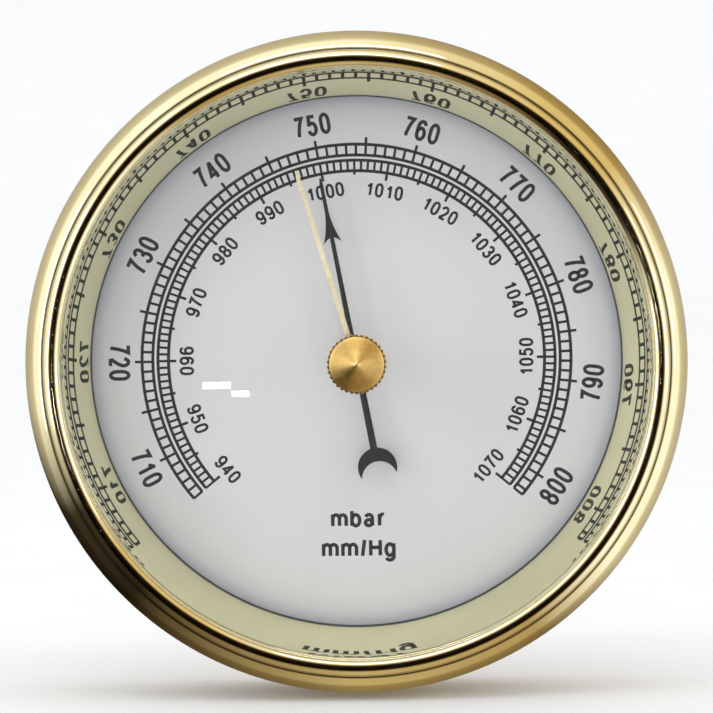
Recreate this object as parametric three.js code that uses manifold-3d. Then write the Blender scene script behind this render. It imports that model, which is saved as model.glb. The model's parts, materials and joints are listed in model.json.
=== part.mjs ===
// An aneroid wall barometer: a drawn case hung on one screw, a spun bezel with a crystal and a set hand
// worked by a knob through it, a dial, and a capsule movement that turns the pointer through a rocking
// shaft, a toothed sector and a pinion.
//
// Lengths are millimetres. The model is laid out as it is read: x to the right, y up and z from the wall
// towards the reader, with z = 0 on the back of the case. The last group turns that frame upright, so that
// the dial faces -Y and +Z is up.

import * as THREE from "three";
import { mergeVertices } from "three/addons/utils/BufferGeometryUtils.js";
import Module from "manifold-3d";

const wasm = await Module();
wasm.setup();

// ---- driving dimensions ------------------------------------------------------------------------------

const RADIUS = 64; // the bezel's largest radius
const DEPTH = 45; // wall to the point of the knob
const GAP = 0.1; // between pieces that touch
const ROUND = 36; // sides of the large turned pieces
const SMALL_ROUND = 16; // sides of pins, posts and screws

const SHEET = 1; // thickness of the case
const CASE_RADIUS = 58.6;
const CASE_CORNER = 5;
const FLANGE_RADIUS = 62.4;
const FLANGE_Z = 27.2; // underside of the case's front flange
const KEYHOLE = { y: 41, head: 4.75, slot: 2.5, rise: 5 };

const DIAL_RADIUS = 57;
const DIAL_Z = 24; // printed face
const DIAL_THICKNESS = 0.6;
const DIAL_HOLE = 2;

const MIRROR_INNER = 51.7; // the reflector's small end
const MIRROR_OUTER = 56.5;
const MIRROR_FOOT_Z = 26.5;
const MIRROR_TOP_Z = 36.4;

const CRYSTAL_RADIUS = 58.4;
const CRYSTAL_HOLE = 1.6;
const CRYSTAL_Z = 37; // underside at the edge
const CRYSTAL_THICKNESS = 1.9;
const CRYSTAL_DOME = 0.5; // rise from the edge to the middle

const BASE_RADIUS = 34;
const BASE_Z = 4;
const BASE_THICKNESS = 1.5;
const BASE_TOP = BASE_Z + BASE_THICKNESS;

const LEAF_Z = 6.1; // underside of the leaf that carries the capsule
const LEAF_THICKNESS = 0.8;
const LEAF_WIDTH = 10;
const LEAF_REACH = 31; // half its length
const ADJUSTER_Y = -27;

const CAPSULE_RADIUS = 17;
const CAPSULE_Z = 7.6; // underside of the lower diaphragm
const DIAPHRAGM_HEIGHT = 2;
const DIAPHRAGM_WALL = 0.35;
const CAPSULE_TOP = CAPSULE_Z + 2 * DIAPHRAGM_HEIGHT + GAP;

const SHAFT_Y = 3; // rocking shaft, which runs along x
const SHAFT_Z = 14.2;
const SHAFT_RADIUS = 0.7;
const SHAFT_POST_X = 18.5;

const LOWER_PLATE_Z = 16.4;
const LOWER_PLATE_THICKNESS = 1;
const UPPER_PLATE_Z = 21.4;
const UPPER_PLATE_THICKNESS = 0.8;
const PILLARS = [[-18, 12], [22, 13], [9, -20]];
const PILLAR_RADIUS = 1.5;

const GEAR_MODULE = 0.3;
const PINION_TEETH = 12;
const SECTOR_TEETH = 96; // on a whole circle
const GEAR_CENTRES = (GEAR_MODULE * (PINION_TEETH + SECTOR_TEETH)) / 2;
const SECTOR_Z = 19;
const SECTOR_THICKNESS = 1;
const SECTOR_PIN_REACH = 3; // from the sector's pivot
const SECTOR_PIN_RADIUS = 0.4;
const PUSH_ARM_THICKNESS = 0.8;
const PUSH_ARM_PLAY = 0.3;
const SECTOR_Y = SHAFT_Y + PUSH_ARM_THICKNESS / 2 + PUSH_ARM_PLAY + SECTOR_PIN_RADIUS;
const SECTOR_X = Math.sqrt(GEAR_CENTRES ** 2 - SECTOR_Y ** 2);
const SECTOR_PIN_X = SECTOR_X - SECTOR_PIN_REACH;

const ARBOR_RADIUS = 0.6;
const RUNNING_HOLE = 0.75; // plates' holes for the arbors
const HAIRSPRING_Z = 20.45;
const HAIRSPRING_HEIGHT = 0.6;
const HAIRSPRING_TURNS = 4;
const HAIRSPRING_INNER = 1.5;
const HAIRSPRING_OUTER = 6;

const POINTER_Z = 26.8;
const POINTER_THICKNESS = 0.3;
const POINTER_ANGLE = THREE.MathUtils.degToRad(10.6); // left of upright, at 999.7 millibars
const SET_HAND_Z = 31.4;
const SET_HAND_THICKNESS = 0.4;
const SET_HAND_ANGLE = THREE.MathUtils.degToRad(17);

const KNOB_RADIUS = 5.75;
const KNOB_FLUTES = 34;
const KNOB_Z = 40.1;
const KNOB_RIM = 1.7; // height of the fluted rim
const STEM_RADIUS = 1.2;

// ---- materials ---------------------------------------------------------------------------------------

function metal(color, roughness) {
  return new THREE.MeshStandardMaterial({ color, roughness, metalness: 1 });
}

const polishedBrass = metal(0xd9b45a, 0.12);
const mirrorBrass = metal(0xd6cf9a, 0.05);
const satinBrass = metal(0xb58a3a, 0.4);
const paleGold = metal(0xe6cf9a, 0.3);
const steel = metal(0x9c9fa3, 0.35);
const springSteel = metal(0x4a5a86, 0.3);
const capsuleBronze = metal(0xc98f5a, 0.35);
const blackPaint = new THREE.MeshStandardMaterial({ color: 0x0c0c0d, roughness: 0.45, metalness: 0 });
const whiteEnamel = new THREE.MeshStandardMaterial({ color: 0xe9eaec, roughness: 0.3, metalness: 0 });
const rubber = new THREE.MeshStandardMaterial({ color: 0x1a1a1a, roughness: 0.9, metalness: 0 });
const nylon = new THREE.MeshStandardMaterial({ color: 0xded8c4, roughness: 0.6, metalness: 0 });
const crystalGlass = new THREE.MeshStandardMaterial({
  color: 0xf2f6f7,
  roughness: 0.03,
  metalness: 0,
  transparent: true,
  opacity: 0.25,
});

// ---- shapes ------------------------------------------------------------------------------------------

// Points of an arc in a profile, from one angle to another in degrees.
function arc(centre, radius, from, to, steps) {
  return Array.from({ length: steps + 1 }, (_, i) => {
    const angle = THREE.MathUtils.degToRad(from + ((to - from) * i) / steps);
    return [centre[0] + radius * Math.cos(angle), centre[1] + radius * Math.sin(angle)];
  });
}

// A turned piece: its profile is a list of [radius, height], and it stands on the z axis.
function turned(profile, sides = ROUND) {
  const points = profile.map(([r, z]) => new THREE.Vector2(r, z));
  if (THREE.ShapeUtils.area(points) < 0) points.reverse();
  if (points[0].x > 0 || points.at(-1).x > 0) points.push(points[0].clone());
  return new THREE.LatheGeometry(points, sides).rotateX(Math.PI / 2);
}

// The closed profile of a thin wall whose one side follows the outline, with the other side to its right.
function wall(outline, thickness) {
  const other = outline.map((point, i) => {
    const [ax, ay] = outline[Math.max(i - 1, 0)];
    const [bx, by] = outline[Math.min(i + 1, outline.length - 1)];
    const length = Math.hypot(bx - ax, by - ay);
    return [point[0] + ((by - ay) / length) * thickness, point[1] - ((bx - ax) / length) * thickness];
  });
  return [...outline, ...other.reverse()];
}

function rod(radius, length, sides = SMALL_ROUND) {
  return new THREE.CylinderGeometry(radius, radius, length, sides)
    .rotateX(Math.PI / 2)
    .translate(0, 0, length / 2);
}

function tube(outer, inner, length, sides = SMALL_ROUND) {
  return turned([[inner, 0], [outer, 0], [outer, length], [inner, length]], sides);
}

function bar(width, height, depth) {
  return new THREE.BoxGeometry(width, height, depth).translate(0, 0, depth / 2);
}

function plate(shape, thickness, curveSegments = 6) {
  return new THREE.ExtrudeGeometry(shape, { depth: thickness, bevelEnabled: false, curveSegments });
}

// ---- cutting and joining -----------------------------------------------------------------------------

function toSolid(geometry) {
  const bare = new THREE.BufferGeometry();
  bare.setAttribute("position", geometry.getAttribute("position"));
  bare.setIndex(geometry.index);
  const merged = mergeVertices(bare, 1e-4);
  const { array } = merged.index;
  const triVerts = [];
  for (let i = 0; i < array.length; i += 3) {
    const [a, b, c] = array.slice(i, i + 3);
    if (a !== b && b !== c && c !== a) triVerts.push(a, b, c);
  }
  const mesh = new wasm.Mesh({
    numProp: 3,
    vertProperties: merged.attributes.position.array,
    triVerts: new Uint32Array(triVerts),
  });
  return new wasm.Manifold(mesh);
}

function toGeometry(solid) {
  const mesh = solid.getMesh();
  const geometry = new THREE.BufferGeometry();
  geometry.setAttribute("position", new THREE.BufferAttribute(new Float32Array(mesh.vertProperties), 3));
  geometry.setIndex(new THREE.BufferAttribute(new Uint32Array(mesh.triVerts), 1));
  return geometry;
}

function cut(geometry, ...tools) {
  return toGeometry(tools.reduce((left, tool) => left.subtract(toSolid(tool)), toSolid(geometry)));
}

function join(...pieces) {
  return toGeometry(pieces.map(toSolid).reduce((whole, piece) => whole.add(piece)));
}

// ---- the object --------------------------------------------------------------------------------------

const laidOut = new THREE.Group();

function add(name, geometry, material, x = 0, y = 0, z = 0, turn = 0) {
  const mesh = new THREE.Mesh(geometry, material);
  mesh.name = name;
  mesh.position.set(x, y, z);
  mesh.rotation.z = turn;
  laidOut.add(mesh);
  return mesh;
}

function rearCase() {
  const inner = CASE_RADIUS - SHEET;
  const innerCorner = CASE_CORNER - SHEET;
  const cup = turned([
    [0, 0],
    ...arc([CASE_RADIUS - CASE_CORNER, CASE_CORNER], CASE_CORNER, -90, 0, 4),
    [CASE_RADIUS, FLANGE_Z],
    [FLANGE_RADIUS, FLANGE_Z],
    [FLANGE_RADIUS, FLANGE_Z + SHEET],
    [inner, FLANGE_Z + SHEET],
    ...arc([inner - innerCorner, CASE_CORNER], innerCorner, 0, -90, 3),
    [0, SHEET],
  ]);
  const through = SHEET * 3;
  const headHole = rod(KEYHOLE.head, through, 20).translate(0, KEYHOLE.y, -SHEET);
  const slot = bar(2 * KEYHOLE.slot, KEYHOLE.rise, through).translate(0, KEYHOLE.y + KEYHOLE.rise / 2, -SHEET);
  const slotEnd = rod(KEYHOLE.slot, through, 12).translate(0, KEYHOLE.y + KEYHOLE.rise, -SHEET);
  const adjusterHole = rod(3.7, through).translate(0, ADJUSTER_Y, -SHEET);
  const vents = [-1, 1].map((side) => rod(1.3, through, 8).translate(side * 14, ADJUSTER_Y, -SHEET));
  add("rear_case", cut(cup, headHole, slot, slotEnd, adjusterHole, ...vents), satinBrass);
  const pocket = (inset) => {
    const shape = new THREE.Shape();
    const half = 6.2 - inset;
    shape.absarc(0, KEYHOLE.y + KEYHOLE.rise, half, 0, Math.PI, false);
    shape.absarc(0, KEYHOLE.y, half, Math.PI, 2 * Math.PI, false);
    return shape;
  };
  const cover = cut(plate(pocket(0), 5), plate(pocket(0.6), 4.4).translate(0, 0, -GAP));
  add("keyhole_cover", cover, steel, 0, 0, SHEET + GAP);
}

function bezel() {
  const outline = [
    [56.6, CRYSTAL_Z + CRYSTAL_THICKNESS + 2 * GAP], // the lip on the crystal
    [56.6, 39.6],
    [57.2, 40.7],
    [58.3, 41.15], // crest
    [59.4, 40.7],
    [60.1, 38.9], // crease between the two beads
    [61.6, 38.3],
    [63, 36.3],
    [RADIUS, 31],
    [RADIUS, 28],
    [63, 26.3],
    [60.6, 25.9], // rolled in behind the case's flange
  ];
  add("bezel", turned(wall(outline, 0.7)), polishedBrass);
}

function reflectorRing() {
  const outline = [
    [60.9, FLANGE_Z + SHEET + GAP], // leg that stands on the case's flange
    [60.9, MIRROR_TOP_Z - 0.5],
    [60.4, MIRROR_TOP_Z],
    [MIRROR_OUTER, MIRROR_TOP_Z],
    [MIRROR_INNER, MIRROR_FOOT_Z],
    [MIRROR_INNER, DIAL_Z + GAP],
  ];
  add("reflector_ring", turned(wall(outline.reverse(), 0.5)), mirrorBrass);
}

function crystal() {
  const rise = (r) => CRYSTAL_DOME * (1 - (r / CRYSTAL_RADIUS) ** 2);
  const radii = [CRYSTAL_HOLE, 15, 30, 45, CRYSTAL_RADIUS];
  const under = radii.map((r) => [r, CRYSTAL_Z + rise(r)]);
  const over = radii.map((r) => [r, CRYSTAL_Z + CRYSTAL_THICKNESS + rise(r)]);
  add("crystal", turned([...under, ...over.reverse()]), crystalGlass);
  const gasketZ = MIRROR_TOP_Z + GAP;
  add("crystal_gasket", tube(58.6, 57.2, CRYSTAL_Z - gasketZ - GAP, ROUND), rubber, 0, 0, gasketZ);
}

function dial() {
  const back = DIAL_Z - DIAL_THICKNESS;
  add("dial_plate", tube(DIAL_RADIUS, DIAL_HOLE, DIAL_THICKNESS, ROUND), whiteEnamel, 0, 0, back);
  for (let i = 0; i < 3; i++) {
    const angle = (i * 2 * Math.PI) / 3;
    const foot = turned([
      [0, 0],
      [1.5, 0],
      [1.5, back - BASE_TOP - 1],
      [2.4, back - BASE_TOP - 0.6],
      [2.4, back - BASE_TOP - 2 * GAP],
      [0, back - BASE_TOP - 2 * GAP],
    ], 12);
    add(`dial_foot_${i + 1}`, foot, satinBrass, 31 * Math.cos(angle), 31 * Math.sin(angle), BASE_TOP + GAP);
  }
}

// A cheese-head screw standing head up, with its thread end at z = 0.
function screw(shank, length, head, headHeight) {
  const body = turned([[0, 0], [shank, 0], [shank, length], [head, length], [head, length + headHeight],
    [0, length + headHeight]], 12);
  const slot = bar(2.2 * head, 0.35 * head, headHeight).translate(0, 0, length + 0.55 * headHeight);
  return cut(body, slot);
}

function base() {
  const bosses = [60, 180, 300].map((degrees) => {
    const angle = THREE.MathUtils.degToRad(degrees);
    return [31 * Math.cos(angle), 31 * Math.sin(angle)];
  });
  const through = BASE_THICKNESS * 3;
  const holes = bosses.map(([x, y]) => rod(1.5, through, 12).translate(x, y, -BASE_THICKNESS));
  const adjusterHole = rod(1.9, through).translate(0, ADJUSTER_Y, -BASE_THICKNESS);
  const nutHole = rod(4.2, through).translate(0, 0, -BASE_THICKNESS);
  const disc = rod(BASE_RADIUS, BASE_THICKNESS, 36);
  add("base_plate", cut(disc, ...holes, adjusterHole, nutHole), steel, 0, 0, BASE_Z);
  const bossHeight = BASE_Z - SHEET - 2 * GAP;
  bosses.forEach(([x, y], i) => {
    add(`base_boss_${i + 1}`, tube(2.6, 1.5, bossHeight, 12), satinBrass, x, y, SHEET + GAP);
    const length = BASE_TOP - SHEET - 0.3;
    add(`base_screw_${i + 1}`, screw(1.2, length, 2.3, 1.2), steel, x, y, SHEET + 0.3 + GAP);
  });
}

function capsuleCarrier() {
  const leaf = bar(LEAF_WIDTH, 2 * LEAF_REACH, LEAF_THICKNESS);
  const screwY = LEAF_REACH - 4;
  const through = LEAF_THICKNESS * 3;
  const holes = [[0, 0], [-2.6, screwY], [2.6, screwY]].map(([x, y]) =>
    rod(1.3, through, 12).translate(x, y, -LEAF_THICKNESS),
  );
  add("capsule_leaf", cut(leaf, ...holes), springSteel, 0, 0, LEAF_Z);
  const spacerHeight = LEAF_Z - BASE_TOP - 2 * GAP;
  add("leaf_spacer", bar(LEAF_WIDTH, 7, spacerHeight), satinBrass, 0, screwY, BASE_TOP + GAP);
  [-1, 1].forEach((side, i) => {
    const length = LEAF_THICKNESS;
    add(`leaf_screw_${i + 1}`, screw(1, length, 1.9, 0.9), steel, 2.6 * side, screwY, LEAF_Z + GAP);
  });
  const shank = rod(1.5, LEAF_Z - GAP - 2.3).translate(0, 0, 2);
  const head = rod(3.2, 2, 20);
  const slot = bar(7, 0.9, 1).translate(0, 0, -0.2);
  add("adjusting_screw", cut(join(head, shank), slot), satinBrass, 0, ADJUSTER_Y, 0.3);
}

// Half of the aneroid capsule: rings of corrugation between a flat middle and a flat rim.
function diaphragm() {
  const flat = 4.5;
  const rim = CAPSULE_RADIUS - 1.2;
  const rise = DIAPHRAGM_HEIGHT - DIAPHRAGM_WALL;
  const folds = 6;
  const under = [[0, 0], [flat, 0]];
  for (let i = 0; i < folds; i++) {
    const share = (i + 0.5) / folds;
    under.push([flat + (rim - flat) * share, rise * share ** 2 + (i % 2 ? -0.35 : 0.35)]);
  }
  under.push([rim, rise], [CAPSULE_RADIUS, rise]);
  const over = under.map(([r, z]) => [r, z + DIAPHRAGM_WALL]).reverse();
  return turned([...under, ...over], 24);
}

function capsule() {
  add("capsule_lower", diaphragm(), capsuleBronze, 0, 0, CAPSULE_Z);
  const upper = add("capsule_upper", diaphragm(), capsuleBronze, 0, 0, CAPSULE_TOP);
  upper.rotation.x = Math.PI;
  const stud = turned([[0, 0], [1, 0], [1, 4], [2.6, 4], [2.6, 4.5], [0, 4.5]], SMALL_ROUND);
  add("capsule_stud", stud, satinBrass, 0, 0, CAPSULE_Z - 4.5 - GAP);
  const nut = cut(rod(3.2, 1.7, 6), rod(1.2, 5, 12).translate(0, 0, -1));
  add("capsule_nut", nut, satinBrass, 0, 0, LEAF_Z - 1.7 - GAP);
  const top = SHAFT_Z - 0.5 - PUSH_ARM_PLAY - CAPSULE_TOP - GAP;
  const post = turned([[0, 0], [2.2, 0], [2.2, 0.4], [0.8, 0.8], [0.8, top - 0.5], [0, top]], SMALL_ROUND);
  add("capsule_post", post, satinBrass, 0, 0, CAPSULE_TOP + GAP);
}

// A plate with rounded corners round the pillars, and round holes.
function framePlate(thickness, holes) {
  const [left, right, low] = PILLARS;
  const shape = new THREE.Shape();
  const corner = 4;
  const corners = [
    [left, 75, 200],
    [low, 215, 325],
    [right, 325, 435],
  ];
  corners.forEach(([[x, y], from, to]) => {
    shape.absarc(x, y, corner, THREE.MathUtils.degToRad(from), THREE.MathUtils.degToRad(to), false);
  });
  shape.closePath();
  const cutters = holes.map(([x, y, r]) => rod(r, thickness * 3, 12).translate(x, y, -thickness));
  return cut(plate(shape, thickness, 5), ...cutters);
}

function movementFrame() {
  const pillarHoles = PILLARS.map(([x, y]) => [x, y, 1]);
  const arborHoles = [[0, 0, RUNNING_HOLE], [SECTOR_X, SECTOR_Y, RUNNING_HOLE]];
  const armSlot = bar(2.4, 3.8, 3).translate(SECTOR_PIN_X, SHAFT_Y, -1);
  const lower = framePlate(LOWER_PLATE_THICKNESS, [...arborHoles, ...pillarHoles]);
  add("lower_plate", cut(lower, armSlot), satinBrass, 0, 0, LOWER_PLATE_Z);
  add("upper_plate", framePlate(UPPER_PLATE_THICKNESS, [...arborHoles, ...pillarHoles]), satinBrass, 0, 0,
    UPPER_PLATE_Z);
  const lowerTop = LOWER_PLATE_Z + LOWER_PLATE_THICKNESS;
  const upperTop = UPPER_PLATE_Z + UPPER_PLATE_THICKNESS;
  PILLARS.forEach(([x, y], i) => {
    const n = i + 1;
    const lowerLength = LOWER_PLATE_Z - BASE_TOP - 2 * GAP;
    add(`lower_pillar_${n}`, rod(PILLAR_RADIUS, lowerLength, 12), satinBrass, x, y, BASE_TOP + GAP);
    add(`upper_pillar_${n}`, tube(PILLAR_RADIUS, 1, UPPER_PLATE_Z - lowerTop - 2 * GAP, 12), satinBrass, x, y,
      lowerTop + GAP);
    const length = upperTop - LOWER_PLATE_Z;
    add(`plate_screw_${n}`, screw(0.8, length, 1.7, 0.9), steel, x, y, LOWER_PLATE_Z + GAP);
  });
}

function rockingShaft() {
  const pivot = 0.5;
  const length = 2 * SHAFT_POST_X - 2.4 - 2 * GAP;
  const shaft = join(
    rod(SHAFT_RADIUS, length, 12).translate(0, 0, -length / 2),
    rod(pivot, length + 2.4, 12).translate(0, 0, -length / 2 - 1.2),
  ).rotateY(Math.PI / 2);
  add("rocking_shaft", shaft, steel, 0, SHAFT_Y, SHAFT_Z);
  ["left", "right"].forEach((side, i) => {
    const x = SHAFT_POST_X * (2 * i - 1);
    const height = SHAFT_Z + 1.6 - BASE_TOP - GAP;
    const hole = rod(pivot + 0.1, 6, 12).rotateY(Math.PI / 2).translate(-3, 0, SHAFT_Z - BASE_TOP - GAP);
    add(`shaft_post_${side}`, cut(bar(2.4, 3.2, height), hole), satinBrass, x, SHAFT_Y, BASE_TOP + GAP);
  });
  const bore = (width) => rod(SHAFT_RADIUS + GAP, width + 2, 12).rotateY(Math.PI / 2).translate(-width / 2 - 1, 0, 0);
  const collar = (width) => rod(1.3, width, 12).rotateY(Math.PI / 2).translate(-width / 2, 0, 0);
  const reach = 3.9;
  const lift = join(collar(2), bar(2, reach, 1).translate(0, -reach / 2, -0.5));
  add("lift_arm", cut(lift, bore(2)), steel, 0, SHAFT_Y, SHAFT_Z);
  const pushTop = SECTOR_Z - 0.3 - SHAFT_Z;
  const push = join(collar(1.2), bar(1.2, PUSH_ARM_THICKNESS, pushTop));
  add("push_arm", cut(push, bore(1.2)), steel, SECTOR_PIN_X, SHAFT_Y, SHAFT_Z);
}

// One involute tooth about the angle zero, from root to root, thinned for backlash.
function tooth(teeth) {
  const pitch = (GEAR_MODULE * teeth) / 2;
  const base = pitch * Math.cos(THREE.MathUtils.degToRad(20));
  const root = pitch - 1.25 * GEAR_MODULE;
  const tip = pitch + GEAR_MODULE;
  const roll = (r) => (r <= base ? 0 : Math.sqrt((r / base) ** 2 - 1) - Math.acos(base / r));
  const halfAtPitch = (0.42 * Math.PI) / teeth;
  const flank = [root, Math.max(base, root), pitch, (pitch + tip) / 2, tip].map((r) => [
    r,
    halfAtPitch + roll(pitch) - roll(r),
  ]);
  return [...flank.map(([r, a]) => [r, -a]), ...flank.reverse()];
}

function toothedRim(teeth, indices, offset) {
  const outline = tooth(teeth);
  return indices.flatMap((i) => {
    const middle = ((i + offset) * 2 * Math.PI) / teeth;
    return outline.map(([r, a]) => new THREE.Vector2(r * Math.cos(middle + a), r * Math.sin(middle + a)));
  });
}

function pointerArbor() {
  const rim = toothedRim(PINION_TEETH, [...Array(PINION_TEETH).keys()], 0);
  const pinion = plate(new THREE.Shape(rim), 1.4).translate(0, 0, SECTOR_Z - 0.2);
  const foot = LOWER_PLATE_Z - 0.4;
  const arbor = rod(ARBOR_RADIUS, POINTER_Z + 1 - foot, 12).translate(0, 0, foot);
  const towardsSector = Math.atan2(SECTOR_Y, SECTOR_X);
  add("pointer_arbor", join(arbor, pinion), steel, 0, 0, 0, towardsSector);
}

function sector() {
  const cutTeeth = 14;
  const rim = toothedRim(SECTOR_TEETH, Array.from({ length: cutTeeth }, (_, i) => i - cutTeeth / 2), 0.5);
  const shape = new THREE.Shape();
  const hub = 1.9;
  const spread = THREE.MathUtils.degToRad(60);
  shape.absarc(0, 0, hub, spread, 2 * Math.PI - spread, false);
  rim.forEach(({ x, y }) => shape.lineTo(x, y));
  shape.closePath();
  const web = plate(shape, SECTOR_THICKNESS, 8);
  const window = new THREE.Shape();
  window.absarc(0, 0, 12.6, -0.24, 0.24, false);
  window.absarc(0, 0, 5.2, 0.1, -0.1, true);
  const towardsPinion = Math.PI + Math.atan2(SECTOR_Y, SECTOR_X);
  const bore = rod(RUNNING_HOLE, 3, 12).translate(0, 0, -1);
  const gear = cut(web, bore, plate(window, 3, 4).translate(0, 0, -1));
  const pinReach = new THREE.Vector2(-SECTOR_PIN_REACH, 0).rotateAround(new THREE.Vector2(), -towardsPinion);
  const pin = rod(SECTOR_PIN_RADIUS, 2, 8).translate(pinReach.x, pinReach.y, -1.3);
  add("sector_gear", join(gear, pin), satinBrass, SECTOR_X, SECTOR_Y, SECTOR_Z, towardsPinion);
  const foot = LOWER_PLATE_Z - 0.4;
  const length = UPPER_PLATE_Z + UPPER_PLATE_THICKNESS + 0.3 - foot;
  add("sector_arbor", rod(ARBOR_RADIUS, length, 12), steel, SECTOR_X, SECTOR_Y, foot);
}

function hairspring() {
  add("hairspring_collet", tube(1.2, RUNNING_HOLE, 0.9, 12), satinBrass, 0, 0, HAIRSPRING_Z - 0.15);
  class Spiral extends THREE.Curve {
    getPoint(t) {
      const radius = HAIRSPRING_INNER + (HAIRSPRING_OUTER - HAIRSPRING_INNER) * t;
      const angle = 2 * Math.PI * HAIRSPRING_TURNS * t;
      return new THREE.Vector3(radius * Math.cos(angle), radius * Math.sin(angle), 0);
    }
  }
  const half = 0.12;
  const section = new THREE.Shape([
    new THREE.Vector2(-HAIRSPRING_HEIGHT / 2, -half),
    new THREE.Vector2(HAIRSPRING_HEIGHT / 2, -half),
    new THREE.Vector2(HAIRSPRING_HEIGHT / 2, half),
    new THREE.Vector2(-HAIRSPRING_HEIGHT / 2, half),
  ]);
  const strip = new THREE.ExtrudeGeometry(section, { steps: 15 * HAIRSPRING_TURNS, extrudePath: new Spiral() });
  add("hairspring", strip, springSteel, 0, 0, HAIRSPRING_Z + HAIRSPRING_HEIGHT / 2);
  add("hairspring_stud", rod(0.5, 1, 8), satinBrass, HAIRSPRING_OUTER + 0.8, 0, UPPER_PLATE_Z - GAP - 1);
}

// The pointer lies along +y: a needle with a barbed head in front and a crescent behind the pivot.
function pointer() {
  const tip = 36.3;
  const head = 29.3;
  const barb = 23.4;
  const notch = 24.4;
  const crescent = { middle: -20.9, outer: 3.82, hollow: -23.2, inner: 3.45 };
  const stem = 0.42; // half widths
  const neck = 0.55;
  const tail = 0.7;
  const shape = new THREE.Shape();
  shape.moveTo(0.12, tip);
  shape.lineTo(0.3, head + 2);
  shape.quadraticCurveTo(0.45, head - 2, 1.85, barb);
  shape.quadraticCurveTo(1.0, notch - 0.3, stem, notch);
  shape.lineTo(neck, 0);
  const joinAngle = Math.asin(tail / crescent.outer);
  const tipAngle = 0.44;
  shape.absarc(0, crescent.middle, crescent.outer, Math.PI / 2 - joinAngle, -tipAngle, true);
  const tipX = crescent.outer * Math.cos(tipAngle);
  const tipY = crescent.middle - crescent.outer * Math.sin(tipAngle);
  const from = Math.atan2(tipY - crescent.hollow, tipX);
  shape.absarc(0, crescent.hollow, crescent.inner, from, Math.PI - from, false);
  shape.absarc(0, crescent.middle, crescent.outer, Math.PI + tipAngle, Math.PI / 2 + joinAngle, true);
  shape.lineTo(-neck, 0);
  shape.lineTo(-stem, notch);
  shape.quadraticCurveTo(-1.0, notch - 0.3, -1.85, barb);
  shape.quadraticCurveTo(-0.45, head - 2, -0.3, head + 2);
  shape.lineTo(-0.12, tip);
  shape.closePath();
  const blade = plate(shape, POINTER_THICKNESS, 6);
  const boss = rod(2, POINTER_THICKNESS, 16);
  const bore = rod(1.4, 3, 12).translate(0, 0, -1);
  add("pointer", cut(join(blade, boss), bore), blackPaint, 0, 0, POINTER_Z, POINTER_ANGLE);
  const collet = turned([[RUNNING_HOLE, -1.2], [2.2, -1.2], [2.2, -GAP], [1.3, -GAP], [1.3, 0.9], [RUNNING_HOLE, 0.9]],
    SMALL_ROUND);
  add("pointer_collet", collet, satinBrass, 0, 0, POINTER_Z);
}

function setHand() {
  const tip = 38.8;
  const shape = new THREE.Shape([
    new THREE.Vector2(-0.52, 0),
    new THREE.Vector2(0.52, 0),
    new THREE.Vector2(0.36, tip - 1.6),
    new THREE.Vector2(0.08, tip),
    new THREE.Vector2(-0.08, tip),
    new THREE.Vector2(-0.36, tip - 1.6),
  ]);
  const boss = rod(3, SET_HAND_THICKNESS, SMALL_ROUND);
  const bore = rod(STEM_RADIUS + GAP, 3, 12).translate(0, 0, -1);
  const blade = cut(join(plate(shape, SET_HAND_THICKNESS), boss), bore);
  add("set_hand", blade, paleGold, 0, 0, SET_HAND_Z, SET_HAND_ANGLE);
  const collarZ = SET_HAND_Z + SET_HAND_THICKNESS + GAP;
  const collarHeight = CRYSTAL_Z + CRYSTAL_DOME - 1.5 - collarZ;
  add("set_hand_collar", tube(2.6, STEM_RADIUS + GAP, collarHeight), satinBrass, 0, 0, collarZ);
  const washer = turned([[1.5, 0], [2.4, 0], [3.6, 0.9], [3.6, 1.15], [2.3, 0.25], [1.5, 0.25]], SMALL_ROUND);
  add("spring_washer", washer, springSteel, 0, 0, collarZ + collarHeight + GAP);
}

function knob() {
  const root = KNOB_RADIUS - 0.45;
  const flute = [[root, -0.5], [KNOB_RADIUS - 0.1, -0.24], [KNOB_RADIUS, 0], [KNOB_RADIUS - 0.1, 0.24]];
  const outline = Array.from({ length: KNOB_FLUTES }, (_, i) => i).flatMap((i) =>
    flute.map(([r, share]) => {
      const angle = ((i + share) * 2 * Math.PI) / KNOB_FLUTES;
      return new THREE.Vector2(r * Math.cos(angle), r * Math.sin(angle));
    }),
  );
  const rim = plate(new THREE.Shape(outline), KNOB_RIM).translate(0, 0, KNOB_Z);
  const rimTop = KNOB_Z + KNOB_RIM;
  const cone = turned([[0, rimTop - 0.5], [root - 0.1, rimTop - 0.5], [root - 0.1, rimTop + 0.1], [0, DEPTH]], 32);
  const stem = rod(STEM_RADIUS, KNOB_Z - SET_HAND_Z + 1, SMALL_ROUND).translate(0, 0, SET_HAND_Z - 0.5);
  add("set_knob", join(rim, cone, stem), satinBrass);
  const crystalTop = CRYSTAL_Z + CRYSTAL_THICKNESS + CRYSTAL_DOME;
  const washerHeight = KNOB_Z - crystalTop - 2 * GAP;
  add("knob_washer", tube(3.6, STEM_RADIUS + GAP, washerHeight), nylon, 0, 0, crystalTop + GAP);
}

rearCase();
bezel();
reflectorRing();
crystal();
dial();
base();
capsuleCarrier();
capsule();
movementFrame();
rockingShaft();
pointerArbor();
sector();
hairspring();
pointer();
setHand();
knob();

// Upright: the reader's x, y and z become X, Z and -Y.
const barometer = new THREE.Group();
laidOut.rotation.x = Math.PI / 2;
barometer.add(laidOut);

export default barometer;
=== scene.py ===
"""Finished pieces, finishes, lights and camera for an aneroid wall barometer, made around its CAD frame.

Sizes are read in the way that the dial is read, in millimetres: x to the right, y up and z from the wall
towards the reader. reader() puts such a point in Blender's frame, where the dial faces -Y.
"""

import json
import math

import bpy
from mathutils import Matrix, Vector


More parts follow.
